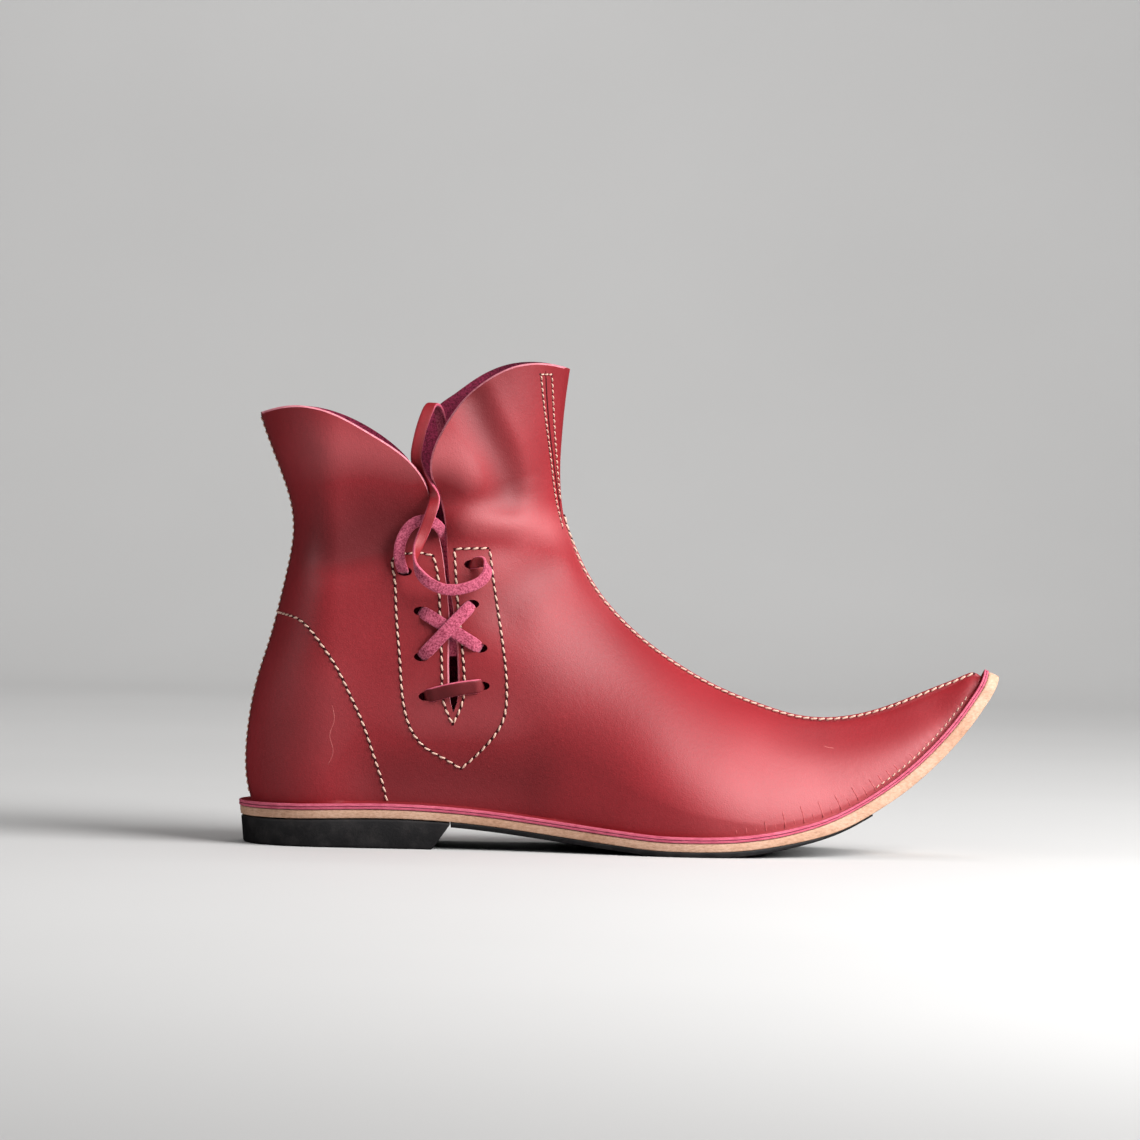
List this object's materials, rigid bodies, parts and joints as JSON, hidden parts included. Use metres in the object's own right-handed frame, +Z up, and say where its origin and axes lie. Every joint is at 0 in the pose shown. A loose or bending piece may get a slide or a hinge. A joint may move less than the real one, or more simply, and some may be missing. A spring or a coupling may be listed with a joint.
{
  "type": "ankle boot",
  "caption": "Right elf ankle boot in red leather with an upturned pointed toe, lobed collar, side slit laced with a flat strip, leather sole and low rubber heel.",
  "frame": {"origin": "on the floor, under the middle of the boot's length and width", "axes": "+X from heel to toe, +Y to the inner side of the foot, +Z up"},
  "size_m": [0.311, 0.097, 0.1985],
  "materials": {
    "upper_leather": "waxed grain, satin",
    "insole_leather": "suede, matt",
    "sole_leather": "natural cut edge, matt",
    "sole_rubber": "matt",
    "lace_leather": "suede outside, waxed grain on the other face"
  },
  "bodies": {
    "root": {"upper": "upper_leather", "insole": "insole_leather", "leather_sole": "sole_leather", "rubber_sole": "sole_rubber", "heel_block": "sole_rubber", "lace_bar": "lace_leather", "lace_cross": "lace_leather", "lace_end_front": "lace_leather", "lace_end_back": "lace_leather"}
  },
  "joints": []
}
